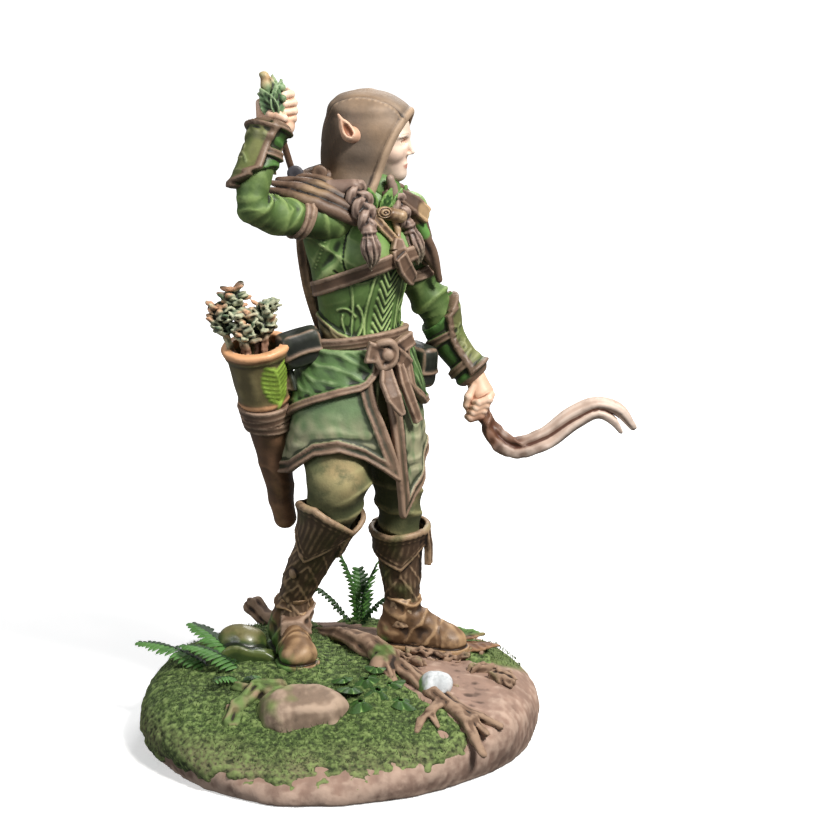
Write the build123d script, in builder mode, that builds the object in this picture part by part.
"""Painted miniature figure: a hooded archer on a scenic base, as the kit of pieces it is built from.

Frame: +Z up, origin under the middle of the base, +X the way the head looks, -Y the side of the drawn arrow.
All sizes are in millimetres.
"""

from build123d import *

import math
import os

# ---- driving dimensions ----------------------------------------------------------------
BASE_HEIGHT = 9.6  # at the middle of the mound
TURF_THICKNESS = 0.35
CLOTH = 0.7  # garment wall
LEATHER = 0.55  # strap wall
PIN_RADIUS = 0.5  # brass rod
SHAFT_RADIUS = 0.42  # arrow shaft
FIT_GAP = 0.05  # room left round a piece that is glued into another

CHEST_FACING = 45.0  # degrees from +X towards -Y
HIP_FACING = 56.0
WAIST_FACING = 52.0
HEAD_FACING = 12.0

# ---- joints of the body ----------------------------------------------------------------
NECK = (4.4, 2.6, 69.6)
WAIST = (2.6, 2.5, 50.0)
RIGHT_SHOULDER = (-1.6, -2.6, 66.6)
RIGHT_ELBOW = (-9.9, -9.2, 68.6)
RIGHT_WRIST = (-6.9, -5.9, 77.4)
RIGHT_PALM = (-6.0, -4.9, 80.0)
LEFT_SHOULDER = (9.0, 7.4, 66.2)
LEFT_ELBOW = (11.3, 9.4, 53.6)
LEFT_WRIST = (16.6, 8.1, 45.4)
LEFT_PALM = (18.1, 7.4, 41.9)
RIGHT_HIP = (-1.0, 0.6, 44.0)
RIGHT_KNEE = (-0.2, -4.6, 32.6)
RIGHT_ANKLE = (-6.6, 4.2, 15.0)
LEFT_HIP = (5.0, 4.6, 44.0)
LEFT_KNEE = (7.4, 3.2, 29.6)
LEFT_ANKLE = (7.8, 5.8, 14.6)
QUIVER_MOUTH = (-10.1, -2.4, 50.3)
QUIVER_TIP = (-7.3, 3.2, 28.4)

parts = {}


def keep(name, piece):
    """Gives a finished piece its label and files it under its node's name."""
    piece.label = name
    parts[name] = piece


def facing(angle):
    """The sideways direction of a body that looks angle degrees from +X towards -Y."""
    turn = math.radians(angle)
    return (math.sin(turn), math.cos(turn), 0)


def oval(centre, along, across, wide, deep):
    """One oval section square to along, with its wide half axis along across."""
    with BuildSketch(Plane(origin=centre, x_dir=across, z_dir=along)) as section:
        Ellipse(wide, deep)
    return section.sketch.face()


def ovals(stations, across):
    """Oval sections along a bent axis; each station is x, y, z, wide half axis, deep half axis."""
    points = [Vector(*s[:3]) for s in stations]
    sections = []
    for i, (_, _, _, wide, deep) in enumerate(stations):
        ahead = points[min(i + 1, len(points) - 1)]
        behind = points[max(i - 1, 0)]
        sections.append(oval(points[i], (ahead - behind).normalized(), across, wide, deep))
    return sections


def level_ovals(stations):
    """Level oval sections; each station is x, y, z, wide half axis, deep half axis, facing."""
    return [oval((x, y, z), (0, 0, 1), facing(angle), wide, deep) for x, y, z, wide, deep, angle in stations]


def grown(stations, by):
    """The same stations with both half axes larger by a wall."""
    return [(*s[:3], s[3] + by, s[4] + by, *s[5:]) for s in stations]


def between(a, b, share):
    """A point on the line from a to b."""
    return tuple(p + (q - p) * share for p, q in zip(a, b))


def limb(name, stations, across):
    """A solid limb lofted through oval stations."""
    with BuildPart() as piece:
        loft(ovals(stations, across))
    keep(name, piece.part)


def round_pebble(name, centre, half_sizes, turn=0.0, sink=0.4):
    """An egg-shaped stone, cut flat underneath where it is glued down."""
    with BuildPart() as piece:
        Sphere(1.0)
        scale(by=half_sizes)
        split(bisect_by=Plane.XY.offset(-half_sizes[2] * sink), keep=Keep.TOP)
    keep(name, piece.part.rotate(Axis.Z, turn).translate(Vector(*centre)))


# ---- scenic base -----------------------------------------------------------------------
mound_profile = [  # height, half length, half width
    (0.0, 23.6, 21.6),
    (2.4, 25.0, 23.0),
    (5.6, 24.2, 22.2),
    (7.9, 19.6, 18.0),
    (9.0, 13.0, 12.0),
    (BASE_HEIGHT, 4.0, 3.7),
]


def mound(by):
    """The base as a faceted mound of level ovals, grown by a wall."""
    with BuildPart() as piece:
        loft(
            [oval((0, 0, height + by), (0, 0, 1), (1, 0, 0), length + by, width + by)
             for height, length, width in mound_profile],
            ruled=True,
        )
    return piece.part


foot_pin_spots = [(-6.6, 3.2), (8.6, 5.6)]
FOOT_PIN_LENGTH = 9.0
FOOT_PIN_FOOT = 4.5

with BuildPart() as scenic_base:
    add(mound(0))
    with Locations(*[(x, y, FOOT_PIN_FOOT) for x, y in foot_pin_spots]):
        Cylinder(
            PIN_RADIUS,
            FOOT_PIN_LENGTH,
            align=(Align.CENTER, Align.CENTER, Align.MIN),
            mode=Mode.SUBTRACT,
        )
keep("scenic_base", scenic_base.part)

with BuildPart() as turf_cover:
    add(mound(TURF_THICKNESS))
    add(mound(0), mode=Mode.SUBTRACT)
    with BuildSketch() as turf_plan:
        with BuildLine():
            Spline(
                (-22.0, 16.0), (-24.6, 0.0), (-21.0, -12.0), (-10.0, -18.5),
                (6.0, -17.5), (12.0, -12.5), (4.0, -6.0), (3.5, 2.0),
                (1.0, 9.0), (6.0, 17.0), (-8.0, 21.5), periodic=True,
            )
        make_face()
    extrude(amount=BASE_HEIGHT + 1, mode=Mode.INTERSECT)
    with BuildSketch():
        Rectangle(100, 100)
    extrude(amount=2.6, mode=Mode.SUBTRACT)
    with Locations(*[(x, y, FOOT_PIN_FOOT) for x, y in foot_pin_spots]):
        Cylinder(
            PIN_RADIUS + FIT_GAP,
            FOOT_PIN_LENGTH,
            align=(Align.CENTER, Align.CENTER, Align.MIN),
            mode=Mode.SUBTRACT,
        )
keep("turf_cover", turf_cover.part)

round_pebble("front_rock", (-4.0, -12.2, 6.7), (5.5, 4.4, 2.7), turn=20)
round_pebble("mossy_boulder", (-12.2, 4.0, 9.4), (3.2, 2.9, 2.6), turn=-15)
round_pebble("white_pebble", (12.0, -7.4, 8.6), (2.0, 1.7, 1.5), turn=30)

with BuildPart() as fallen_root:
    loft(ovals(
        [(-2.6, 8.6, 9.4, 1.3, 0.9), (2.4, 2.6, 10.1, 1.6, 1.1), (6.2, -2.2, 9.9, 1.9, 1.5),
         (9.0, -5.6, 9.3, 1.4, 1.0), (13.4, -11.0, 7.9, 1.2, 0.8)],
        (0, 0, 1),
    ))
for tip in [(18.2, -15.6, 5.2), (15.0, -15.4, 5.9), (20.0, -11.4, 6.2)]:
    with BuildPart() as root_finger:
        knuckle = (13.0, -10.6, 7.9)
        middle = between(knuckle, tip, 0.5)
        loft(ovals([(*knuckle, 0.7, 0.6), (*middle, 0.6, 0.5), (*tip, 0.4, 0.4)], (0, 0, 1)))
    fallen_root.part = fallen_root.part + root_finger.part
keep("fallen_root", fallen_root.part)

with BuildPart() as twigs:
    for route in (
        [(-8.6, -7.6, 8.6, 1.4, 1.1), (-11.2, -8.6, 8.6, 1.2, 1.0), (-13.6, -12.6, 7.4, 1.5, 1.2)],
        [(-8.6, 14.6, 8.9, 1.2, 0.9), (-11.4, 19.0, 9.0, 1.2, 1.0), (-13.9, 21.4, 10.6, 1.3, 1.2)],
    ):
        loft(ovals(route, (0, 0, 1)))
keep("twigs", twigs.part)
with BuildPart() as bark_chips:
    for spot, size, lean in [
        ((17.4, -1.2, 8.4), (4.2, 1.8, 0.9), 20),
        ((20.6, -4.4, 7.5), (2.8, 2.2, 1.3), -30),
        ((10.2, -0.6, 9.3), (4.6, 1.5, 0.7), -25),
    ]:
        with Locations(Location(spot, (0, 0, lean))):
            Box(*size)
keep("bark_chips", bark_chips.part)

with BuildPart() as dry_leaf:
    with BuildSketch(Plane.XY.offset(9.0)):
        with BuildLine():
            Spline((13.6, 5.6), (16.4, 7.6), (20.0, 7.6), (18.2, 4.6), (15.4, 3.0), periodic=True)
        make_face()
    extrude(amount=0.6)
keep("dry_leaf", dry_leaf.part)

with BuildPart() as ivy_leaves:
    for spot, lean, length in [
        ((3.6, -8.2, 9.2), -30, 4.6),
        ((7.2, -10.6, 8.6), -15, 5.2),
        ((2.2, -10.6, 8.6), -60, 3.6),
    ]:
        turn = math.radians(lean)
        blade_plane = Plane(origin=spot, x_dir=(math.cos(turn), math.sin(turn), -0.12), z_dir=(0.05, -0.2, 1))
        with BuildSketch(blade_plane):
            Ellipse(length / 2, length / 4.4)
        extrude(amount=0.35)
keep("ivy_leaves", ivy_leaves.part)


def frond(root, tip, rise, width):
    """A flat fern frond that arches from its root to its tip."""
    middle = (root[0] + (tip[0] - root[0]) * 0.5, root[1] + (tip[1] - root[1]) * 0.5,
              root[2] + (tip[2] - root[2]) * 0.5 + rise)
    run = (Vector(*tip) - Vector(*root)).normalized()
    with BuildPart() as piece:
        loft(ovals([(*root, width * 0.35, 0.2), (*middle, width, 0.22), (*tip, width * 0.2, 0.15)],
              tuple(run.cross(Vector(0, 0, 1)).normalized())))
    return piece.part


front_fronds = [
    ((-11.9, -3.2, 8.6), (-19.6, 5.6, 12.2), 0.8, 1.2),
    ((-16.0, -1.0, 7.9), (-26.6, 3.4, 10.4), 0.7, 1.1),
    ((-11.2, -4.0, 8.6), (-20.6, 0.6, 11.4), 0.7, 1.0),
]
rear_fronds = [
    ((1.6, 16.4, 8.2), (-1.0, 16.6, 18.2), 0.4, 1.4),
    ((2.2, 16.8, 8.2), (5.0, 16.4, 16.4), 0.3, 1.4),
    ((1.0, 16.2, 8.2), (-6.6, 14.4, 15.4), 0.9, 1.1),
    ((2.4, 17.4, 8.2), (1.6, 20.4, 15.4), 0.4, 1.3),
]
keep("fern_front", Compound(children=[frond(*f) for f in front_fronds]))
keep("fern_rear", Compound(children=[frond(*f) for f in rear_fronds]))

with BuildPart() as assembly_pins:
    with Locations(*[(x, y, FOOT_PIN_FOOT) for x, y in foot_pin_spots]):
        Cylinder(PIN_RADIUS, FOOT_PIN_LENGTH, align=(Align.CENTER, Align.CENTER, Align.MIN))
shoulder_pins = [
    (between(RIGHT_SHOULDER, (3.2, 2.4, 66.0), 0.35), RIGHT_SHOULDER, RIGHT_ELBOW),
    (between(LEFT_SHOULDER, (3.2, 2.4, 66.0), 0.35), LEFT_SHOULDER, LEFT_ELBOW),
]


def pin_between(start, end):
    """A round brass pin from one point to another."""
    run = Vector(*end) - Vector(*start)
    with BuildPart() as piece:
        with BuildSketch(Plane(origin=start, z_dir=tuple(run.normalized()))):
            Circle(PIN_RADIUS)
        extrude(amount=run.length)
    return piece.part


arm_pins = [pin_between(inside, between(shoulder, elbow, 0.3)) for inside, shoulder, elbow in shoulder_pins]

# ---- legs and boots --------------------------------------------------------------------
right_trouser = [
    (*RIGHT_HIP, 4.0, 3.8),
    (*between(RIGHT_HIP, RIGHT_KNEE, 0.5), 4.2, 4.0),
    (0.1, -4.2, 34.4, 4.1, 3.9),
    (-0.6, -4.0, 30.6, 3.4, 3.2),
    (-1.7, -2.6, 27.6, 2.6, 2.5),
]
left_trouser = [
    (*LEFT_HIP, 3.8, 3.6),
    (6.0, 4.0, 38.0, 3.5, 3.4),
    (*LEFT_KNEE, 3.0, 2.9),
    (7.5, 3.8, 25.4, 2.6, 2.5),
]
right_shin = [
    (-1.1, -3.6, 29.2, 3.5, 3.3),
    (-3.4, -0.4, 23.8, 3.2, 3.1),
    (-5.4, 2.4, 18.6, 2.5, 2.4),
    (*RIGHT_ANKLE, 2.2, 2.2),
]
left_shin = [
    (7.5, 3.6, 27.0, 3.3, 3.1),
    (7.5, 4.4, 23.0, 3.1, 2.9),
    (7.7, 5.2, 18.6, 2.5, 2.4),
    (*LEFT_ANKLE, 2.2, 2.2),
]


def stocking(name, skin, shaft, across):
    """A trouser leg that ends inside its boot shaft, cut clear of it."""
    with BuildPart() as piece:
        loft(ovals(skin, across))
        loft(ovals(grown(shaft, FIT_GAP), across), mode=Mode.SUBTRACT)
    keep(name, piece.part.solids().sort_by(SortBy.VOLUME)[-1])


stocking("right_leg", right_trouser, right_shin, facing(HIP_FACING))
stocking("left_leg", left_trouser, left_shin, facing(30))
limb("right_greave", right_shin, facing(HIP_FACING))
limb("left_greave", left_shin, facing(30))


def boot(name, ankle, toe, heel, half_width):
    """A low boot: the heel and instep under the ankle, and a toe box, cut flat at the sole."""
    run = Vector(*toe) - Vector(*heel)
    across = (-run.Y, run.X, 0)
    sole = min(toe[2], heel[2]) - 1.2
    with BuildPart() as piece:
        loft(ovals([(*heel, 1.5, 1.4), (*between(heel, toe, 0.25), half_width, 2.3),
               (*between(heel, toe, 0.62), half_width + 0.1, 1.7), (*toe, half_width * 0.62, 0.9)], across))
        with BuildSketch(Plane.XY.offset(ankle[2])):
            with Locations((ankle[0], ankle[1])):
                Circle(2.15)
        with BuildSketch(Plane.XY.offset(heel[2] - 0.4)):
            with Locations(between(heel, toe, 0.25)[:2]):
                Circle(2.0)
        loft()
        split(bisect_by=Plane.XY.offset(sole), keep=Keep.TOP)
    keep(name, piece.part)


boot("right_boot", RIGHT_ANKLE, (-4.7, -3.0, 10.6), (-7.9, 6.3, 11.2), 2.1)
boot("left_boot", LEFT_ANKLE, (15.4, 3.6, 10.6), (5.3, 6.3, 11.0), 1.9)

with BuildPart() as ankle_strap:
    strap_path = [(-6.8, 4.6, 11.6), (-6.2, 2.2, 13.0)]
    loft(ovals([(*strap_path[0], 2.9, 2.8), (*strap_path[1], 2.9, 2.7)], (1, 0, 0)))
    loft(ovals([(*strap_path[0], 2.35, 2.3), (*strap_path[1], 2.35, 2.2)], (1, 0, 0)), mode=Mode.SUBTRACT)
keep("ankle_strap", ankle_strap.part)

# ---- body and skirts -------------------------------------------------------------------
torso_sections = [
    (*WAIST, 5.6, 4.5, WAIST_FACING),
    (2.7, 2.5, 53.0, 5.5, 4.3, 50),
    (2.8, 2.4, 57.5, 6.3, 5.1, 47),
    (2.9, 2.2, 62.0, 7.2, 5.7, CHEST_FACING),
    (3.3, 2.3, 65.5, 7.3, 4.8, CHEST_FACING),
    (3.7, 2.5, 68.0, 5.2, 3.6, CHEST_FACING),
    (*NECK, 2.9, 2.6, CHEST_FACING),
]
with BuildPart() as torso:
    loft(level_ovals(torso_sections))
keep("torso", torso.part)

with BuildPart() as hips:
    loft(level_ovals([
        (2.0, 2.5, 40.5, 5.4, 4.6, HIP_FACING),
        (2.2, 2.5, 45.0, 6.6, 5.2, HIP_FACING),
        (*WAIST, 5.6, 4.5, WAIST_FACING),
    ]))
keep("hips", hips.part)

skirt_shape = [
    (2.6, 2.5, 50.2, 6.0, 4.9, HIP_FACING),
    (2.2, 2.4, 45.0, 8.0, 6.6, HIP_FACING),
    (1.7, 2.2, 39.0, 9.2, 8.2, HIP_FACING),
    (1.4, 2.2, 34.0, 9.4, 8.8, HIP_FACING),
    (1.4, 2.2, 29.5, 9.4, 8.8, HIP_FACING),
]


def waist_ray(bearing, reach=30.0):
    """A point well outside the skirt at a bearing, counted from +X towards +Y."""
    turn = math.radians(bearing)
    return (WAIST[0] + reach * math.cos(turn), WAIST[1] + reach * math.sin(turn))


def panel(name, low, high, bottom, top, outside=0.0, slope=0.0):
    """A hanging panel of the skirt between two bearings, counted from +X towards +Y, with a sloping hem."""
    with BuildPart() as piece:
        loft(level_ovals(grown(skirt_shape, outside + CLOTH)))
        loft(level_ovals(grown(skirt_shape, outside)), mode=Mode.SUBTRACT)
        middle = math.radians((low + high) / 2)
        bearings = (low, (2 * low + high) / 3, (low + 2 * high) / 3, high)
        with BuildSketch():
            with BuildLine():
                Polyline((WAIST[0], WAIST[1]), *[waist_ray(a) for a in bearings], close=True)
            make_face()
        extrude(amount=top, mode=Mode.INTERSECT)
        hem = Plane(origin=(WAIST[0], WAIST[1], bottom),
                    z_dir=(-math.sin(middle) * slope, math.cos(middle) * slope, 1))
        split(bisect_by=hem, keep=Keep.TOP)
    keep(name, piece.part)


panel("skirt_right", -186, -42, 38.0, 49.4, slope=0.12)
panel("skirt_left", -38, 44, 33.0, 49.4, slope=0.18)
panel("skirt_back", 48, 170, 36.0, 49.4)
panel("hip_flap_right", -190, -76, 44.6, 49.8, outside=CLOTH + FIT_GAP, slope=0.2)
panel("hip_flap_left", -28, 40, 43.0, 49.8, outside=CLOTH + FIT_GAP, slope=-0.2)

with BuildPart() as belt:
    for wall, mode in ((CLOTH, Mode.ADD), (0.0, Mode.SUBTRACT)):
        loft([oval((2.7, 2.5, height), (0, 0, 1), facing(WAIST_FACING), 5.9 + wall, 4.75 + wall)
              for height in (49.9, 52.6)], mode=mode)
keep("belt", belt.part)

with BuildPart() as belt_knot:
    with Locations(Location((5.9, -2.9, 50.4), (0, 0, -HIP_FACING))):
        Box(1.8, 3.6, 3.0)
    fillet(belt_knot.edges(), 0.7)
keep("belt_knot", belt_knot.part)

with BuildPart() as belt_tails:
    front_tail = [(6.2, -3.4, 48.9, 0.45, 1.2), (7.1, -4.2, 46.0, 0.4, 1.3), (8.4, -4.5, 43.0, 0.3, 0.9)]
    side_tail = [(8.2, -2.2, 49.0, 0.4, 1.0), (9.6, -1.9, 45.4, 0.4, 1.1), (10.9, -0.6, 41.2, 0.3, 0.8)]
    loft(ovals(front_tail, (0.5, -0.85, 0)))
    loft(ovals(side_tail, (0.8, -0.6, 0)))
keep("belt_tails", belt_tails.part)

with BuildPart() as hip_pouch:
    with Locations(Location((-5.2, -1.6, 50.9), (0, 18, -140))):
        Box(2.4, 5.4, 4.4)
    fillet(hip_pouch.edges(), 0.8)
keep("hip_pouch", hip_pouch.part)

with BuildPart() as rear_pouch:
    with Locations(Location((9.6, 8.2, 47.0), (0, 0, 52))):
        Box(2.2, 4.2, 4.8)
    fillet(rear_pouch.edges(), 0.8)
keep("rear_pouch", rear_pouch.part)

# ---- straps and collar on the chest ----------------------------------------------------
with BuildPart() as chest_strap:
    loft(level_ovals(grown(torso_sections, LEATHER + FIT_GAP)))
    loft(level_ovals(grown(torso_sections, FIT_GAP)), mode=Mode.SUBTRACT)
    strap_plane = Plane(origin=(3.0, 2.2, 60.4), x_dir=(0.74, 0.67, 0), z_dir=(-0.42, 0.12, 1))
    with BuildSketch(strap_plane):
        Rectangle(40, 40)
    extrude(amount=1.1, both=True, mode=Mode.INTERSECT)
keep("chest_strap", chest_strap.part)

with BuildPart() as chest_tag:
    with Locations(Location((7.9, -3.5, 61.0), (0, -6, -CHEST_FACING))):
        Box(0.9, 2.5, 4.6)
    fillet(chest_tag.edges().filter_by(GeomType.LINE), 0.3)
keep("chest_tag", chest_tag.part)

with BuildPart() as brooch:
    with BuildSketch(Plane(origin=(5.9, -2.7, 67.0), z_dir=(0.55, -0.8, 0.25))):
        Circle(1.15)
    extrude(amount=0.8)
keep("brooch", brooch.part)

limb(
    "neck_cord",
    [(6.0, -2.0, 67.4, 0.4, 0.4), (7.2, -3.3, 65.0, 0.4, 0.4), (7.6, -3.9, 63.3, 0.4, 0.4)],
    (1, 0, 0),
)
limb(
    "mantle_right",
    [(-6.6, -1.6, 70.3, 2.0, 0.7), (-3.0, -1.8, 70.4, 3.1, 1.1), (0.6, -1.2, 69.4, 3.2, 1.2),
     (3.4, -1.4, 68.2, 2.2, 1.0)],
    (0.3, 1, 0.1),
)
limb(
    "mantle_left",
    [(6.4, 3.6, 69.4, 2.6, 0.8), (9.2, 5.6, 68.2, 3.0, 0.9), (11.3, 6.2, 64.4, 2.7, 0.8),
     (12.0, 6.8, 60.4, 2.0, 0.6)],
    (-0.55, 0.84, 0),
)

with BuildPart() as collar_leaves:
    collar_lining = [(4.7, 2.3, 68.6, 3.0, 2.8, CHEST_FACING), (5.1, 2.3, 70.2, 3.0, 2.8, CHEST_FACING)]
    loft(level_ovals(grown(collar_lining, LEATHER)))
    loft(level_ovals(collar_lining), mode=Mode.SUBTRACT)
keep("collar_leaves", collar_leaves.part)

limb(
    "cape",
    [(0.0, 6.6, 69.6, 5.4, 0.8), (-1.4, 8.4, 64.0, 5.6, 0.7), (-1.4, 8.4, 57.0, 4.4, 0.6),
     (-0.6, 7.0, 50.6, 2.2, 0.5)],
    facing(CHEST_FACING),
)
limb(
    "cowl_roll",
    [(-5.6, 2.2, 70.6, 1.0, 0.9), (-2.2, 4.8, 71.0, 1.2, 1.0), (1.4, 6.8, 70.8, 1.1, 0.9)],
    (0, 0, 1),
)

# ---- head and hood ---------------------------------------------------------------------
hood_sections = [
    (2.9, 2.5, 69.4, 4.9, 5.3, HEAD_FACING),
    (3.2, 2.7, 71.6, 4.8, 5.2, HEAD_FACING),
    (3.9, 2.9, 75.0, 5.2, 5.9, HEAD_FACING),
    (4.2, 2.9, 78.4, 5.0, 6.1, HEAD_FACING),
    (3.9, 2.9, 80.7, 3.6, 4.4, HEAD_FACING),
    (3.5, 2.9, 81.7, 1.2, 1.6, HEAD_FACING),
]
head_sections = [
    (6.0, 2.8, 70.0, 1.9, 2.0, HEAD_FACING),
    (5.6, 2.8, 72.0, 2.8, 3.4, HEAD_FACING),
    (4.9, 2.8, 75.0, 3.5, 4.3, HEAD_FACING),
    (4.6, 2.8, 78.0, 3.5, 4.3, HEAD_FACING),
    (4.4, 2.8, 80.0, 2.4, 3.0, HEAD_FACING),
    (4.3, 2.8, 80.8, 0.9, 1.0, HEAD_FACING),
]
NECK_PLUG_RADIUS = 2.0
with BuildPart() as head:
    loft(level_ovals(head_sections))
    with BuildSketch(Plane.XY.offset(67.6)):
        with Locations((4.8, 2.7)):
            Circle(NECK_PLUG_RADIUS)
    extrude(amount=6.0)
keep("head", head.part)

with BuildPart() as hood:
    loft(level_ovals(hood_sections))
    loft(level_ovals(grown(head_sections, FIT_GAP)[1:]), mode=Mode.SUBTRACT)
    with BuildSketch(Plane.XY.offset(68.0)):
        with Locations((3.6, 2.6)):
            Ellipse(4.2, 3.9)
    extrude(amount=5.2, mode=Mode.SUBTRACT)
    opening = Plane(origin=(8.6, 2.4, 76.6), x_dir=facing(HEAD_FACING), z_dir=(0.9, -0.15, -0.42))
    with BuildSketch(opening):
        Rectangle(30, 30)
    extrude(amount=12, mode=Mode.SUBTRACT)
keep("hood", hood.part)


def ear(side):
    """A pointed ear that comes out through a slit in the hood."""
    sign = -1 if side == "right" else 1
    with BuildPart() as piece:
        loft(ovals([(2.3, 2.9 + sign * 3.4, 75.8, 0.8, 0.5), (1.8, 2.9 + sign * 5.5, 77.0, 0.9, 0.5),
               (0.9, 2.9 + sign * 6.4, 78.6, 0.3, 0.2)], (1, 0, 0)))
    return piece.part


ears = [ear("right"), ear("left")]
keep("ears", Compound(children=ears))
for worn_round in ("hood", "head"):
    parts[worn_round] = parts[worn_round] - ears[0] - ears[1]

limb("right_braid", [(2.7, -2.6, 69.4, 1.2, 1.1), (3.4, -3.9, 66.6, 1.3, 1.1), (3.7, -4.8, 63.6, 1.1, 1.1),
                     (3.8, -5.3, 61.0, 0.3, 0.3)], (1, 0, 0))
limb("left_braid", [(7.5, 1.2, 69.4, 1.1, 1.0), (8.5, 0.9, 66.6, 1.2, 1.0), (9.4, 1.0, 63.4, 1.0, 0.9),
                    (10.0, 1.6, 60.6, 0.3, 0.3)], (1, 0, 0))

# ---- arms, hands and weapons -----------------------------------------------------------
limb(
    "right_upper_arm",
    [(*RIGHT_SHOULDER, 2.7, 2.7), (*between(RIGHT_SHOULDER, RIGHT_ELBOW, 0.5), 2.6, 2.6),
     (-9.2, -8.7, 68.3, 2.5, 2.4), (-10.3, -9.3, 69.2, 1.6, 1.6)],
    (0, 0, 1),
)
limb(
    "left_upper_arm",
    [(*LEFT_SHOULDER, 2.7, 2.7), (10.3, 8.8, 60.0, 2.5, 2.5), (*LEFT_ELBOW, 2.3, 2.3)],
    (1, 0, 0),
)
limb(
    "right_bracer",
    [(-9.3, -9.4, 70.2, 2.8, 2.7), (-8.2, -8.0, 73.4, 2.4, 2.4), (*RIGHT_WRIST, 1.9, 1.9)],
    (1, 0, 0),
)
limb(
    "left_bracer",
    [(*between(LEFT_ELBOW, LEFT_WRIST, 0.03), 2.5, 2.5), (*between(LEFT_ELBOW, LEFT_WRIST, 0.5), 2.1, 2.1),
     (*LEFT_WRIST, 1.6, 1.7)],
    (0, 1, 0),
)


def arm_band(shoulder, elbow, share, inner):
    """A strap round an upper arm."""
    run = (Vector(*elbow) - Vector(*shoulder)).normalized()
    middle = Vector(*between(shoulder, elbow, share))
    with BuildPart() as piece:
        with BuildSketch(Plane(origin=middle - run * 0.55, z_dir=tuple(run))):
            Circle(inner + LEATHER)
            Circle(inner, mode=Mode.SUBTRACT)
        extrude(amount=1.1)
    return piece.part


keep("arm_bands", Compound(children=[arm_band(RIGHT_SHOULDER, RIGHT_ELBOW, 0.3, 2.68),
                                     arm_band(LEFT_SHOULDER, LEFT_ELBOW, 0.5, 2.55)]))


def fist(name, wrist, palm, size, grip_at, grip_along, grip_radius):
    """A closed hand with a round grip hole through it for what it holds."""
    run = (Vector(*palm) - Vector(*wrist)).normalized()
    tip = Vector(*palm) + run * 1.2
    with BuildPart() as piece:
        loft(ovals(
            [(*wrist, size * 0.62, size * 0.7), (*palm, size, size * 1.05), (*tip, size * 0.8, size * 0.8)],
            (0, 1, 0),
        ))
        along = Vector(*grip_along).normalized()
        with BuildSketch(Plane(origin=Vector(*grip_at) - along * 8, z_dir=tuple(along))):
            Circle(grip_radius)
        extrude(amount=16, mode=Mode.SUBTRACT)
    keep(name, piece.part)


ARROW_TOP = (-8.4, -5.6, 84.2)
ARROW_FOOT = (-3.6, 3.9, 64.6)
arrow_run = tuple(b - a for a, b in zip(ARROW_TOP, ARROW_FOOT))
nock_grip = between(ARROW_TOP, ARROW_FOOT, 0.2)
fist("right_hand", RIGHT_WRIST, RIGHT_PALM, 2.0, nock_grip, arrow_run, SHAFT_RADIUS + FIT_GAP)

bow_route = [(17.2, 8.9, 45.4), (18.0, 7.5, 41.6), (19.6, 7.0, 38.0), (22.4, 6.8, 36.6), (25.8, 6.8, 37.5),
             (29.4, 6.8, 39.9), (32.8, 6.8, 41.2), (35.4, 6.8, 40.2), (37.2, 6.8, 38.4)]
bow_half_widths = [0.75, 0.8, 1.1, 1.2, 1.15, 1.1, 1.05, 0.95, 0.6]
limb("bow", [(*p, w, 0.55) for p, w in zip(bow_route, bow_half_widths)], (-0.6, 0, 0.8))
fist("left_hand", LEFT_WRIST, LEFT_PALM, 1.7, bow_route[1], (0.2, -0.35, -0.9), 1.2)

with BuildPart() as drawn_arrow:
    with BuildSketch(Plane(origin=ARROW_TOP, z_dir=arrow_run)):
        Circle(SHAFT_RADIUS)
    extrude(amount=Vector(*arrow_run).length)
keep("drawn_arrow", drawn_arrow.part)

with BuildPart() as arrow_leaves:
    loft(ovals(
        [(*between(ARROW_TOP, ARROW_FOOT, 0.02), 0.9, 0.8), (*between(ARROW_TOP, ARROW_FOOT, 0.09), 1.4, 1.1),
         (*between(ARROW_TOP, ARROW_FOOT, 0.17), 0.8, 0.7)],
        (1, 0, 0),
    ))
keep("arrow_leaves", arrow_leaves.part - drawn_arrow.part - parts["right_hand"])

# ---- quiver ----------------------------------------------------------------------------
QUIVER_WALL = 0.7
quiver_outer = [
    (*QUIVER_TIP, 1.6, 1.5),
    (*between(QUIVER_TIP, QUIVER_MOUTH, 0.3), 2.3, 2.1),
    (*between(QUIVER_TIP, QUIVER_MOUTH, 0.7), 3.1, 2.9),
    (*QUIVER_MOUTH, 4.0, 3.7),
]
quiver_inner = [
    (*between(QUIVER_TIP, QUIVER_MOUTH, 0.08), 0.7, 0.7),
    (*between(QUIVER_TIP, QUIVER_MOUTH, 0.4), 1.7, 1.6),
    (*between(QUIVER_TIP, QUIVER_MOUTH, 0.7), 2.4, 2.2),
    (*between(QUIVER_TIP, QUIVER_MOUTH, 1.02), 3.3, 3.0),
]
with BuildPart() as quiver:
    loft(ovals(quiver_outer, (1, 0, 0)))
    loft(ovals(quiver_inner, (1, 0, 0)), mode=Mode.SUBTRACT)
keep("quiver", quiver.part)

with BuildPart() as quiver_band:
    band_low = between(QUIVER_TIP, QUIVER_MOUTH, 0.62)
    band_high = between(QUIVER_TIP, QUIVER_MOUTH, 0.76)
    loft(ovals([(*band_low, 3.3, 3.1), (*band_high, 3.7, 3.5)], (1, 0, 0)))
    loft(ovals(grown(quiver_outer, FIT_GAP), (1, 0, 0)), mode=Mode.SUBTRACT)
keep("quiver_band", quiver_band.part)

arrow_heads = [(-14.4, -3.6, 55.2), (-12.6, -2.2, 57.0), (-11.6, -4.0, 54.6), (-9.2, -2.8, 55.8)]


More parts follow.
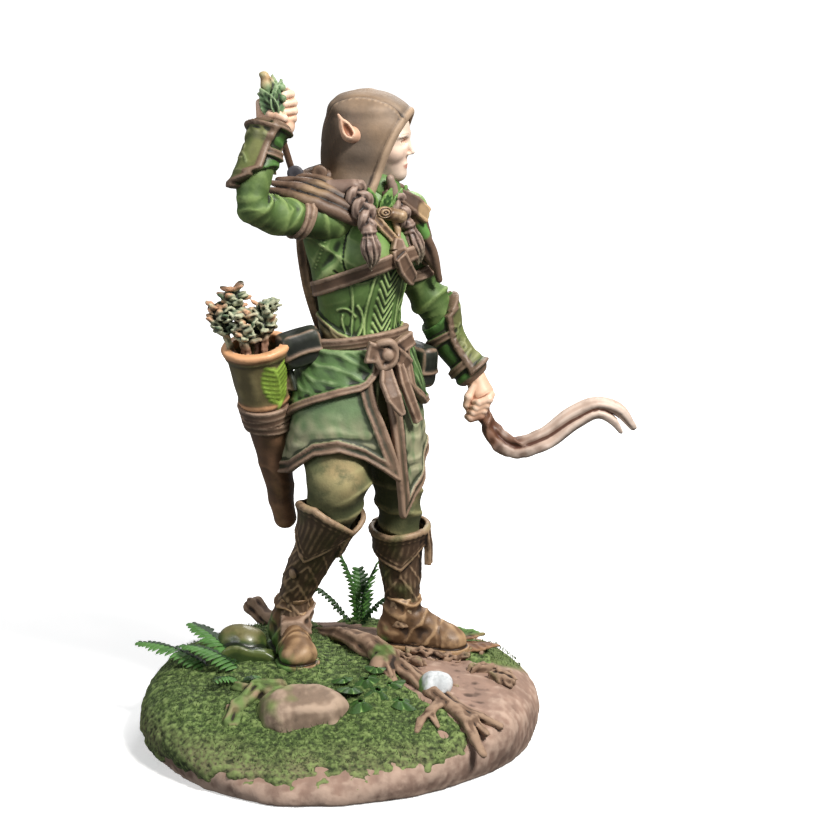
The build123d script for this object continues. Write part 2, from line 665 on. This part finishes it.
def stored_arrow(head):
    """An arrow that stands in the quiver: its shaft and its leafy flight."""
    foot = Vector(*between(QUIVER_TIP, QUIVER_MOUTH, 0.5)) + (Vector(*head) - Vector(*QUIVER_MOUTH)) * 0.12
    run = (Vector(*head) - foot).normalized()
    with BuildPart() as piece:
        with BuildSketch(Plane(origin=foot, z_dir=tuple(run))):
            Circle(SHAFT_RADIUS)
        extrude(amount=(Vector(*head) - foot).length)
        flight_foot = Vector(*head) - run * 4.2
        flight_middle = Vector(*head) - run * 2.0
        loft(ovals([(*flight_foot, 0.6, 0.6), (*flight_middle, 1.3, 1.1), (*head, 0.8, 0.8)], (1, 0, 0)))
    return piece.part


keep("quiver_arrows", Compound(children=[stored_arrow(h) for h in arrow_heads]))

keep("assembly_pins", Compound(children=[assembly_pins.part, *arm_pins]))

# ---- seat the pieces in each other -----------------------------------------------------
SMALLEST_PIECE = 0.3  # mm3, below which a cut leaves only a crumb
split_by_cuts = ("arm_bands", "collar_leaves", "turf_cover")  # these stay several solids in one node
seats = {  # each piece is cut to make room for the pieces named beside it
    "torso": "head assembly_pins",
    "hips": "right_leg left_leg",
    "left_leg": "right_leg",
    "right_boot": "assembly_pins",
    "left_boot": "assembly_pins",
    "right_greave": "right_boot",
    "left_greave": "left_boot",
    "ankle_strap": "right_boot right_greave assembly_pins",
    "right_upper_arm": "assembly_pins torso",
    "left_upper_arm": "assembly_pins torso",
    "right_bracer": "right_upper_arm right_hand",
    "left_bracer": "left_upper_arm left_hand",
    "arm_bands": "right_upper_arm left_upper_arm torso mantle_right mantle_left",
    "right_braid": "torso hood",
    "left_braid": "torso hood",
    "chest_strap": "left_braid right_braid left_upper_arm right_upper_arm assembly_pins",
    "neck_cord": "brooch chest_tag right_braid",
    "collar_leaves": "head torso right_braid left_braid",
    "mantle_right": "hood torso right_upper_arm right_braid collar_leaves drawn_arrow",
    "mantle_left": "hood torso left_upper_arm left_braid collar_leaves",
    "cowl_roll": "hood mantle_right cape",
    "cape": "hood torso belt",
    "belt_knot": "belt",
    "quiver": "hip_pouch",
    "skirt_right": "right_leg quiver quiver_band belt_knot",
    "skirt_left": "rear_pouch belt_tails",
    "skirt_back": "rear_pouch",
    "hip_flap_right": "hip_pouch quiver quiver_band",
    "hip_flap_left": "rear_pouch belt_tails belt_knot",
    "fallen_root": "white_pebble",
    "turf_cover": "right_boot left_boot ankle_strap front_rock mossy_boulder fallen_root twigs ivy_leaves"
    " fern_front fern_rear",
    "scenic_base": "right_boot left_boot ankle_strap front_rock mossy_boulder white_pebble fallen_root twigs"
    " bark_chips dry_leaf ivy_leaves fern_front fern_rear",
}

seated = {}
for outer, inner_names in seats.items():
    piece = parts[outer]
    for inner in inner_names.split():
        for tool in parts[inner].solids():
            piece = piece - tool
    largest_first = piece.solids().sort_by(SortBy.VOLUME, reverse=True)
    kept = [solid for solid in largest_first if solid.volume > SMALLEST_PIECE]
    if outer in split_by_cuts and len(kept) > 1:
        seated[outer] = Compound(children=kept)
    else:
        seated[outer] = kept[0]
parts.update(seated)

# ---- write one file for each piece -----------------------------------------------------
os.makedirs("parts", exist_ok=True)
for node_name, solid in parts.items():
    solid.label = node_name
    export_step(solid, f"parts/{node_name}.step")
print(len(parts), "pieces")
